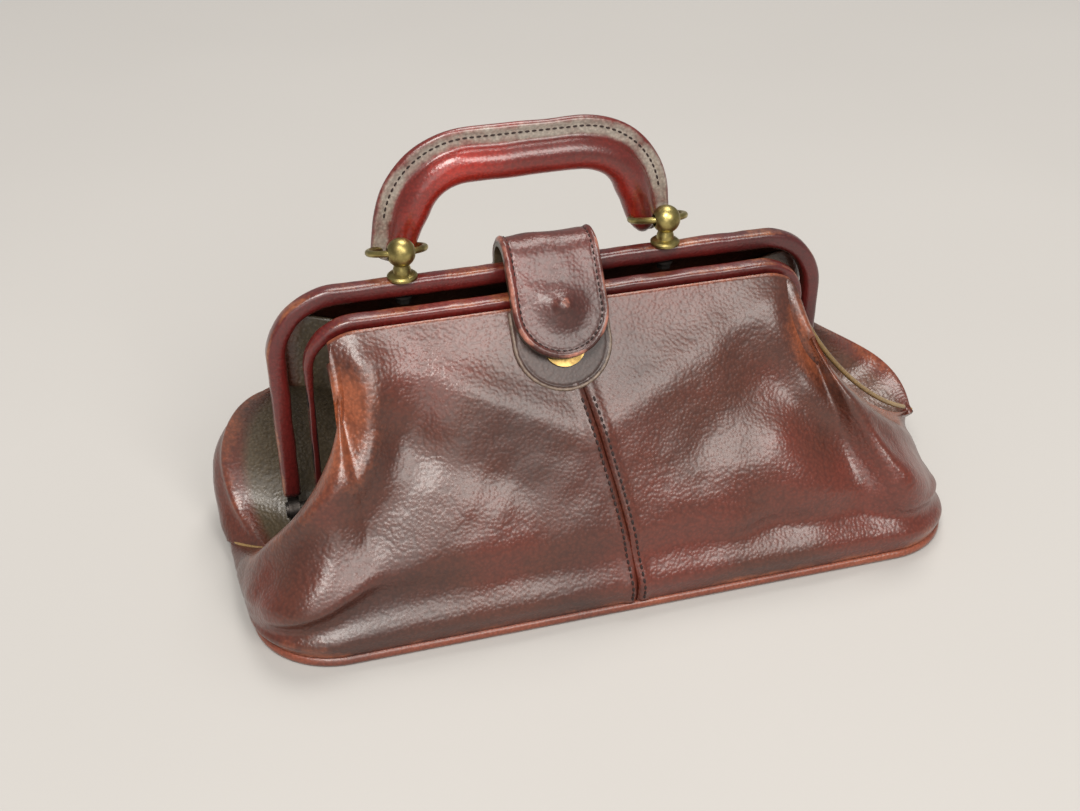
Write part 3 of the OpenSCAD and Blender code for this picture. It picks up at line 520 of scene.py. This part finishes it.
def leatherShape(sx, sy):
    # points, faces and attributes of a quarter of the body, and the lines that its piping follows
    i, v, panel, foldI, flange, gap, foldAt = leatherSide(sx, sy)
    skip = int(np.searchsorted(foldI, bodyGrid["tipGap"]))
    foldI, flange = foldI[skip:], flange[skip:]
    n, rows = panel.shape[:2]
    flip = sx * sy < 0
    faces = np.concatenate([gridFaces(n, rows, flip=flip), gridFaces(*flange.shape[:2], n * rows, flip=flip)])
    wide, level = rolls[sx, sy][1:]
    fromTop = np.linalg.norm(panel - panel[:, -1:], axis=-1)
    low = panel[..., 2] - bag["footZ"]
    uneven = 0.5 + 0.35 * waves(panel, 33, 41) + 0.25 * waves(panel, 11, 42)
    wear = level * foldBand(foldAt) * bell(gap, wide) * (0.6 + 0.35 * uneven)
    wear = wear + rubbing["base"] * bell(low, rubbing["baseReach"]) * uneven
    wear = wear + rubbing["edge"] * (i > net["fold"])[:, None] * bell(fromTop, rubbing["edgeReach"])
    atCorner = bell(i[:, None] - rubbing["cornerAt"], rubbing["cornerWide"])
    atCorner = atCorner * bell(low, rubbing["cornerReach"])
    wear = np.clip(wear + rubbing["corner"] * atCorner * uneven, 0, rubbing["most"])
    inward = np.linalg.norm(flange - flange[:, :1], axis=-1)
    flangeWear = level * bell(inward, rubbing["flangeReach"]) * (0.5 + 0.35 * waves(flange, 33, 41))
    flangeWear = np.clip(flangeWear, 0, rubbing["most"]) * foldBand(foldI)[:, None]
    inside = innerSide[sx] * np.clip((inward - innerSide["start"]) / innerSide["fade"], 0, 1)
    tone = redPlace["strength"] * bell(i[:, None] / columns - 1, redPlace["wide"]) \
        * bell(v - redPlace["up"], redPlace["high"])
    tone = np.clip(redPlace["cloud"] * waves(panel, redPlace["cloudSize"], 51) + tone, 0, redPlace["most"])
    marks = {"wear": np.concatenate([wear.ravel(), flangeWear.ravel()]),
             "tone": np.concatenate([tone.ravel(), 0 * inward.ravel()]),
             "inside": np.concatenate([0 * wear.ravel(), inside.ravel()])}
    pts = np.concatenate([panel.reshape(-1, 3), flange.reshape(-1, 3)])
    return pts, faces, marks, panel[0], flange[(foldI > pipedShare[0]) & (foldI < pipedShare[1]), 0]


# the front, shaped to the frame at its rest lean, from the base up to the frame's edge
pipedEdges = []
for sx, side in sides.items():
    pts, faces, marks, endColumn, crease = leatherShape(sx, -1)
    pipedEdges.append((side, endColumn, crease))
    leather = thicken(makePiece(f"front_{side}_leather", pts, faces, bodyLeather, marks), bag["wall"])
    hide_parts(f"front_{side}_panel")
    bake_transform(leather)
leftPts, leftFaces, leftMarks = leatherShape(-1, 1)[:3]
rightPts, rightFaces, rightMarks = leatherShape(1, 1)[:3]
backLeather = makePiece("back_leather", np.concatenate([leftPts, rightPts]),
                        np.concatenate([leftFaces, rightFaces + len(leftPts)]), bodyLeather,
                        {key: np.concatenate([leftMarks[key], rightMarks[key]]) for key in leftMarks})
thicken(backLeather, bag["wall"])
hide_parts("back_panel")
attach(backLeather, "bag_body")
print("leather body made")

bellows = dict(rows=60, cols=30, low=0.12, inboard=2.6, reach=0.42, wall=1.2)


def bellowsPoints(sx):
    # bellows leather just inside the trough: from its front side, past the valley, to its rear side
    q = np.linspace(bellows["low"], 1, bellows["rows"])[:, None]
    m = np.linspace(-1, 1, bellows["cols"])[None, :]
    i = q * net["fold"] + 0 * m
    w = 1 - bellows["reach"] * np.abs(m) + 0 * q
    p = np.where((m < 0)[..., None], flangePoint(i, w, sx, -1), flangePoint(i, w, sx, 1))
    return p - np.array([sx * bellows["inboard"], 0, 0])


for sx, side in sides.items():
    faces = gridFaces(bellows["rows"], bellows["cols"], flip=sx > 0)
    web = makePiece(f"{side}_bellows", bellowsPoints(sx), faces, gussetLeather)
    thicken(web, bellows["wall"])
    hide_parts(f"{side}_gusset")
    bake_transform(web)
print("ends made")

# piped edge behind the right crease, and the seam down each end
piping = dict(behind=(4.5, 5.0, 3.0), radius=1.1, seamRadius=0.8, seamLow=0.35, seamHigh=0.97, around=10)


def cordPoints(path, radius, count):
    # round cord: a ring of points across the path at each of its points
    ahead = unit(np.gradient(path, axis=0))
    across = unit(np.cross(ahead, [0, 1.0, 0]))
    up = np.cross(across, ahead)
    a = np.linspace(0, 2 * np.pi, count, endpoint=False)[None, :, None]
    return path[:, None] + radius * (np.cos(a) * across[:, None] + np.sin(a) * up[:, None])


cords = []
for side, endColumn, crease in pipedEdges:
    up = np.linspace(0, 1, len(endColumn))
    sewn = (up > piping["seamLow"]) & (up < piping["seamHigh"])
    cords.append((f"{side}_end_seam", endColumn[sewn], piping["seamRadius"]))
    if side == "right":
        swing = np.sin(np.pi * np.linspace(0.06, 0.94, len(crease)))[:, None] ** 0.5
        cords.append(("right_piping", crease + swing * piping["behind"], piping["radius"]))
for name, path, radius in cords:
    cord = makePiece(name, cordPoints(path, radius, piping["around"]), tubeFaces(len(path), piping["around"]),
                     pipingPaintedSheen)
    if name == "right_piping":
        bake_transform(cord)
    else:
        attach(cord, "bag_body")
print("piping made")


def archPath(halfW, top, r, bottom, step=2.0):
    # inverted U in the x-z plane: leg, quarter circle, top, quarter circle, leg; with its outward normal
    leg = np.linspace(bottom, top - r, max(4, int((top - r - bottom) / step)))
    a = np.radians(np.linspace(0, 90, 22))[1:]
    bar = np.linspace(halfW - r, 0, max(4, int((halfW - r) / step)))[1:]
    x = np.concatenate([0 * leg + halfW, halfW - r + r * np.cos(a), bar])
    z = np.concatenate([leg, top - r + r * np.sin(a), 0 * bar + top])
    turn = np.concatenate([0 * leg, a, 0 * bar + np.pi / 2])
    x, z = np.concatenate([x, -x[-2::-1]]), np.concatenate([z, z[-2::-1]])
    turn = np.concatenate([turn, np.pi - turn[-2::-1]])
    return stack(x, 0, z), stack(np.cos(turn), 0, np.sin(turn))


def sweep(path, out, section, scale):
    # each point of the section lies across and through the path: along its outward normal and along +y
    section = section * scale[:, None, :]
    return path[:, None] + section[..., :1] * out[:, None] + section[..., 1:] * np.array([0, 1.0, 0])


rim = dict(around=36, power=3.2, slack=0.2, legFade=1.5, wear=0.45, wearAt=0.85, wearWide=0.25, most=0.8)


def rimPiece(name, f, body, node, place):
    # rolled leather over a frame: the frame's U with a superellipse across it, |x/w|^n + |y/d|^n = 1,
    # slimmer down the legs, a little uneven and rubbed along its outer side
    halfW, top = f["halfW"] - f["rimW"] / 2, f["top"] - f["rimW"] / 2
    path, out = archPath(halfW, top, f["cornerR"] - f["rimW"] / 2, f["legBottom"])
    a = np.linspace(0, 2 * np.pi, rim["around"], endpoint=False)
    circle = np.stack([np.cos(a), np.sin(a)], 1)
    size = np.array([f["rimW"], f["rimD"]]) - rim["slack"]
    section = np.sign(circle) * np.abs(circle) ** (2 / rim["power"]) * size / 2
    legs = np.clip((top - path[:, 2]) / (rim["legFade"] * f["cornerR"]), 0, 1)
    slim = np.stack([mix(1, f["legWidth"], legs), mix(1, f["legDepth"], legs)], 1)
    p = sweep(path, out, section, slim)
    p = place(p + out[:, None] * (0.10 * waves(p, 24, 61) + 0.06 * waves(p, 9, 62))[..., None])
    wear = bell(np.cos(a) - rim["wearAt"], rim["wearWide"])[None] * (0.3 + 0.5 * np.abs(waves(p, 30, 63)))
    piece = makePiece(name, p, tubeFaces(len(path), rim["around"]), rimLeather,
                      {"wear": np.clip(rim["wear"] * wear, 0, rim["most"])})
    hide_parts(node)
    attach(piece, body)


rimPiece("rear_rim", rear, "bag_body", "rear_frame_cover", lambda p: p + [bag["frameX"], bag["frameY"], 0])
rimPiece("front_rim", front, "front_frame", "front_frame_cover", lambda p: lean(p + [bag["frameX"], 0, 0]))
print("rims made")

thread = dict(rings=6, around=6)  # mesh of one stitch


def pickAlong(at, d, line):
    # points of a line, or normals given with it, at the distances at, where d are its own points' distances
    return np.stack([np.interp(at, d, line[:, k]) for k in range(line.shape[1])], 1)


def distances(path):
    # length of the path up to each of its points
    return np.concatenate([[0], np.cumsum(np.linalg.norm(np.diff(path, axis=0), axis=1))])


def stitchRow(path, normal, s):
    # each stitch is a small ellipsoid lying along the path, half sunk in the leather
    d = distances(path)
    at = np.arange(s["pitch"] / 2, d[-1], s["pitch"])
    up = unit(pickAlong(at, d, normal))
    ahead = unit(pickAlong(at + 0.1, d, path) - pickAlong(at - 0.1, d, path))
    across = np.cross(up, ahead)
    rings, around = thread["rings"], thread["around"]
    a = np.linspace(0, np.pi, rings)[:, None]
    b = np.linspace(0, 2 * np.pi, around + 1)[:-1]
    shell = stack(np.cos(a) * s["length"] / 2, np.sin(a) * np.cos(b) * s["wide"] / 2,
                  np.sin(a) * np.sin(b) * s["wide"] / 2)
    p = (pickAlong(at, d, path) + s["lift"] * up)[:, None, None] + shell[..., :1] * ahead[:, None, None] \
        + shell[..., 1:2] * across[:, None, None] + shell[..., 2:] * up[:, None, None]
    cell = gridFaces(rings, around + 1)  # its last column is the first again
    cell = cell // (around + 1) * around + cell % (around + 1) % around
    faces = cell[None] + (np.arange(len(at)) * rings * around)[:, None, None]
    return p.reshape(-1, 3), faces.reshape(-1, 4)


def stitching(name, rows):
    # rows of stitches become one piece
    starts = np.cumsum([0] + [len(p) for p, faces in rows])
    faces = np.concatenate([faces + start for (p, faces), start in zip(rows, starts)])
    return makePiece(name, np.concatenate([p for p, faces in rows]), faces, threadHoleShade, weld=0.002)


seamStitch = dict(off=2.6, pitch=3.0, length=2.2, wide=1.1, lift=0.3, low=0.02, high=0.722, points=200)


def seamRow(sx):
    # a row of the double seam: a column of the panel a little to one side of the middle
    i = columns - seamStitch["off"] * net["long"] / (bag["halfL"] - bag["cornerR"])
    v = np.linspace(seamStitch["low"], seamStitch["high"], seamStitch["points"])
    p = panelPoint(0 * v + i, v, sx, -1)
    beside = panelPoint(0 * v + i - 0.05, v, sx, -1)
    n = unit(np.cross(np.gradient(p, axis=0), (beside - p)) * sx)
    return stitchRow(p, n * np.sign(-n[:, 1:2]), seamStitch)


seamRows = stitching("front_seam_stitching", [seamRow(-1), seamRow(1)])
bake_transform(seamRows)

# handle: a padded roll with a flat stitched flange outside it, on its pivot line at x, y, z
handle = dict(x=-22, y=21.911, z=134.753, half=48.5, rise=49, roll=15, flange=8, flangeT=3.4, cornerR=25,
              foot=-6.4, step=1.5, taperL=20, slim=0.8, capL=6, spread=5, wearMost=0.85)
handleStitch = dict(pitch=2.9, length=2.1, wide=0.9, lift=0.0, low=12)
handleAt = np.array([handle["x"], handle["y"], handle["z"]])


def handleSection(count=44):
    # a circle that runs into a flat flange with a rolled tip; x is outwards
    r, t = handle["roll"] / 2, handle["flangeT"] / 2
    reach = r + handle["flange"] - t
    a = np.radians(np.linspace(24, 336, count))
    circle = np.stack([r * np.cos(a), r * np.sin(a)], 1)
    b = np.radians(np.linspace(-90, 90, 9))
    tip = np.stack([reach + t * np.cos(b), 1.15 * t * np.sin(b)], 1)
    neck = np.linspace(r * 1.02, reach - 1, 5)
    low = np.stack([neck, 0 * neck - t * 0.82], 1)
    return np.concatenate([circle, low, tip, low[::-1] * [1, -1]])


handleTop = handle["rise"] - handle["flange"] - handle["roll"] / 2
handlePath, handleOut = archPath(handle["half"], handleTop, handle["cornerR"], handle["foot"], handle["step"])
section = handleSection()
order = np.arange(len(handlePath))
fromEnd = np.minimum(order, order[::-1]) * handle["step"]
taper = ease(np.clip(fromEnd / handle["taperL"], 0, 1))  # slimmer and further apart towards the ends
cap = np.sqrt(np.clip(1 - (1 - np.clip(fromEnd / handle["capL"], 0, 1)) ** 2, 0.12, 1))  # quarter circle
slim = mix(handle["slim"], 1.0, taper) * cap
handlePts = sweep(handlePath + handle["spread"] * (1 - taper)[:, None] * handleOut * [1, 0, 0], handleOut,
                  section, np.stack([slim, slim], 1))
fromRoll = section[:, 0] - handle["roll"] / 2
uneven = np.where(fromRoll > 0, 0.12, 0.18) * waves(handlePts, 22, 71)
handlePts = handlePts + uneven[..., None] * handleOut[:, None] + handleAt
# redder on the inner side of the roll, rubbed grey along the flange
inner = np.clip(0.1 - 1.1 * np.cos(np.arctan2(section[:, 1], section[:, 0])), 0, 1)
tone = inner[None] * (0.85 + 0.15 * waves(handlePts, 25, 72))
rubbedBand = (fromRoll > 0) * np.exp(-((fromRoll - 0.5 * handle["flange"]) / (0.42 * handle["flange"])) ** 4)
wear = rubbedBand[None] * (0.85 + 0.25 * waves(handlePts, 18, 73) + 0.15 * waves(handlePts, 6, 74))
handleRoll = makePiece("handle_roll", handlePts, tubeFaces(len(handlePath), len(section)), handleLeather,
                       {"tone": np.clip(tone, 0, 1), "wear": np.clip(wear, 0, handle["wearMost"])})
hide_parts("handle_cover", "handle_core")
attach(handleRoll, "handle")
flangeLine = handlePath + handleOut * (handle["roll"] / 2 + handle["flange"] * 0.5) + handleAt
flangeLine = flangeLine[handlePath[:, 2] > handleStitch["low"]]
flangeRows = [stitchRow(flangeLine + [0, face * handle["flangeT"] * 0.42, 0], 0 * flangeLine + [0, face, 0],
                        handleStitch) for face in (-1, 1)]
handleStitching = stitching("handle_stitching", flangeRows)
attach(handleStitching, "handle")
print("handle made")

# strap: leaves the rear frame, arches over both frames and runs down the front; mm, places in y and z
strap = dict(w=40, t=3.6, lining=1.6, seat=0.03, run=42, root=(8.2, 128.2), archZ=132, archR=10.194,
             across=61, border=3.0, roll=0.7, rollAt=1.5, rollWide=1.1, groove=0.35, grooveWide=0.8,
             edge=1.0, edgeWide=0.9, bumpUp=21, bumpD=19, bumpH=3.4, nubD=6.5, nubH=1.8, wearMost=0.8)
strapStitch = dict(pitch=2.6, length=1.9, wide=0.8, lift=0.0, start=6, sunk=0.2)
runDir = np.array([-0.590491, -0.807044])  # unit direction down the front, and its outward normal
runOut = np.array([runDir[1], -runDir[0]])
strapHalf = strap["w"] / 2


def strapLine(count=110):
    # centre line in the y-z plane: up, round the arch, and straight down; with its outward normal
    turn = np.linspace(0, np.arctan2(runOut[1], runOut[0]), 36)
    circle = np.stack([np.cos(turn), np.sin(turn)], 1)
    arc = np.array([strap["root"][0] - strap["archR"], strap["archZ"]]) + strap["archR"] * circle
    down = arc[-1] + np.linspace(0, strap["run"], count - 38)[1:, None] * runDir
    rise = np.linspace(strap["root"][1], strap["archZ"], 4)[:-1]
    up = np.stack([0 * rise + strap["root"][0], rise], 1)
    return np.concatenate([up, arc, down]), np.concatenate([0 * up + [1, 0], circle, 0 * down + runOut])


def roundEnd(left, radius):
    # half width of a tongue with a half-round end, at the distance left to its end
    return radius * np.sqrt(np.clip(1 - (1 - np.clip(left / radius, 0, 1)) ** 2, 0.0004, 1))


strapPath, strapOut = strapLine()
strapDist = distances(strapPath)
toEnd = strapDist[-1] - strapDist
strapX = np.linspace(-1, 1, strap["across"])[None] * roundEnd(toEnd, strapHalf)[:, None]
toEnd = toEnd[:, None]
fromTip = np.where(toEnd < strapHalf, strapHalf - np.hypot(strapX, np.maximum(0, strapHalf - toEnd)), 99)
fromEdge = np.minimum(strapHalf - np.abs(strapX), fromTip)
fromBump = np.hypot(strapX, toEnd - strap["bumpUp"])
# relief: a rolled edge, the groove of the stitching, and the snap's dome and nub pressed through
relief = strap["roll"] * bell(fromEdge - strap["rollAt"], strap["rollWide"]) \
    - strap["groove"] * bell(fromEdge - strap["border"], strap["grooveWide"]) \
    - strap["edge"] * np.clip(1 - fromEdge / strap["edgeWide"], 0, 1) ** 2 \
    + strap["bumpH"] * np.exp(-(fromBump / (strap["bumpD"] * 0.40)) ** 2.4) \
    + strap["nubH"] * np.exp(-(fromBump / (strap["nubD"] * 0.5)) ** 4) \
    + 0.16 * waves(stack(strapX, strapPath[:, None, 0], strapPath[:, None, 1]), 14, 81)


def onStrap(off):
    # points of the strap at a height above its centre line
    yz = strapPath[:, None] + off[..., None] * strapOut[:, None]
    return stack(bag["strapX"] + strapX, yz[..., 0], yz[..., 1])


face = onStrap(strap["t"] / 2 + relief)
back = onStrap(strap["lining"] - strap["t"] / 2 + strap["seat"] + 0 * strapX)
wear = bell(fromEdge - 0.6, 0.9) * (0.45 + 0.3 * waves(face, 12, 82)) \
    + 0.5 * bell(fromBump, 4) * np.clip(waves(face, 5, 83), 0, 1)
wear = np.clip(wear, 0, strap["wearMost"])
strapFace = makePiece("strap_face", np.stack([face, back]), shellFaces(*strapX.shape), strapLeather,
                      {"wear": np.stack([wear, 0 * wear])})
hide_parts("strap_top")
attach(strapFace, "strap")


def borderLine(inset):
    # the strap's outline moved in: down one side, round the end, and up the other; with its outward normal
    half = strapHalf - inset
    long = strapDist[-1] - strapHalf
    a = np.linspace(0, np.pi, 60)[1:-1]
    down = np.linspace(strapStitch["start"], long, 80)
    at = np.concatenate([down, long + half * np.sin(a), down[::-1]])
    x = np.concatenate([0 * down - half, -half * np.cos(a), 0 * down + half])
    n = pickAlong(at, strapDist, strapOut)
    yz = pickAlong(at, strapDist, strapPath) + (strap["t"] / 2 - strapStitch["sunk"]) * n
    return stack(bag["strapX"] + x, yz[:, 0], yz[:, 1]), stack(0 * x, n[:, 0], n[:, 1])


strapStitching = stitching("strap_stitching", [stitchRow(*borderLine(strap["border"]), strapStitch)])
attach(strapStitching, "strap")

# patch under the strap: a straight part and a half-round end, mm
patch = dict(w=42, straight=14, end=20.99, t=2, seat=0.4, sunk=0.2, head=(-16.39, 117.734), across=61,
             border=2.2, groove=0.5, grooveWide=0.5, roll=0.35, rollAt=0.9, rollWide=0.7,
             edge=0.8, edgeWide=0.8)
patchHalf = patch["w"] / 2
down = np.concatenate([np.linspace(0, patch["straight"], 16),
                       patch["straight"] + patch["end"] * np.sin(np.linspace(0, np.pi / 2, 40))[1:]])
pastStraight = np.maximum(0, down - (patch["straight"] + patch["end"] - patchHalf))
patchX = np.linspace(-1, 1, patch["across"])[None] * roundEnd(patchHalf - pastStraight, patchHalf)[:, None]
fromEdge = patchHalf - np.hypot(patchX, pastStraight[:, None])
relief = patch["roll"] * bell(fromEdge - patch["rollAt"], patch["rollWide"]) \
    - patch["groove"] * bell(fromEdge - patch["border"], patch["grooveWide"]) \
    - patch["edge"] * np.clip(1 - fromEdge / patch["edgeWide"], 0, 1) ** 2


def onPatch(off):
    # points of the patch at a height above the front leather
    yz = np.array(patch["head"]) + down[:, None, None] * runDir + off[..., None] * runOut
    return stack(bag["strapX"] + patchX, yz[..., 0], yz[..., 1])


patchPts = np.stack([onPatch(patch["seat"] + patch["t"] + relief),
                     onPatch(patch["seat"] - patch["sunk"] + 0 * patchX)])
wear = 0.6 * bell(fromEdge - 0.7, 0.8)
patchFace = makePiece("snap_patch", patchPts, shellFaces(*patchX.shape), patchLeather,
                      {"wear": np.stack([wear, 0 * wear])})
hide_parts("stud_patch")
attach(patchFace, "front_frame")
print("strap and patch made")

# solids that keep their own shape
finishes = [(bodyLeather, ["bottom_panel"]), (fibreboard, ["bottom_board"]), (weltLeather, ["bottom_welt"]),
            (plainSteel, ["rear_frame_bar", "front_frame_bar", "left_hinge_pin", "right_hinge_pin",
                          "post_nuts", "post_washers"]),
            (agedBrass, ["left_ball_post", "right_ball_post", "left_handle_ring", "right_handle_ring"]),
            (gussetLeather, ["strap_lining"]), (brightBrass, ["snap_socket", "snap_base"])]
for material, names in finishes:
    for name in names:
        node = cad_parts[name]
        node.data.materials.clear()
        node.data.materials.append(material)
print("solids finished")

# plain floor, in mm
floorHalf = 6e3
floorMaterial = mattMaterial("pale studio floor", "#b0aeab", "#aaa8a5", 1000 / 3, rough=0.9, detail=2.0)
floorCorners = floorHalf * np.array([(-1, -1, 0), (1, -1, 0), (1, 1, 0), (-1, 1, 0)])
floor = makePiece("floor", floorCorners, [(0, 1, 2, 3)], floorMaterial)

# soft lights in metres and watts: place, height of the target over the middle, size, power
lamps = {"key": ((-0.77, -1.43, 2.53), 0.07, 1.3, 75), "front": ((0.77, -2.31, 2.09), 0.07, 1.3, 44),
         "low": ((-1.0, -2.86, 1.1), 0.05, 1.75, 15), "top": ((0.55, 0.99, 2.75), 0.1, 1.55, 48)}
for name, (place, target, size, power) in lamps.items():
    lamp = bpy.data.lights.new(name, "AREA")
    lamp.shape = "DISK"
    lamp.size = size
    lamp.energy = power
    lamp.color = linear("#fffaf4")[:3]
    light = bpy.data.objects.new(name, lamp)
    light.location = place
    light.rotation_euler = (Vector((0, 0, target)) - Vector(place)).to_track_quat("-Z", "Y").to_euler()
    bpy.context.collection.objects.link(light)
world = bpy.context.scene.world or bpy.data.worlds.new("studio")
bpy.context.scene.world = world
world.use_nodes = True
world.node_tree.nodes["Background"].inputs["Color"].default_value = linear("#e8e8e8")
world.node_tree.nodes["Background"].inputs["Strength"].default_value = 0.36

# camera at the photo's angle: metres and degrees, focal length in pixels of the photo's width
view = dict(target=(-0.0211, 0, 0.0599), azimuth=-16, elevation=33, distance=0.6115, focal=1386, imageW=1080)
lens = bpy.data.cameras.new("camera")
lens.sensor_width = 36
lens.lens = lens.sensor_width * view["focal"] / view["imageW"]
camera = bpy.data.objects.new("camera", lens)
az, el = np.radians(view["azimuth"]), np.radians(view["elevation"])
away = Vector((np.sin(az) * np.cos(el), -np.cos(az) * np.cos(el), np.sin(el)))
camera.location = Vector(view["target"]) + view["distance"] * away
camera.rotation_euler = away.to_track_quat("Z", "Y").to_euler()
bpy.context.collection.objects.link(camera)
bpy.context.scene.camera = camera
print("stage made")
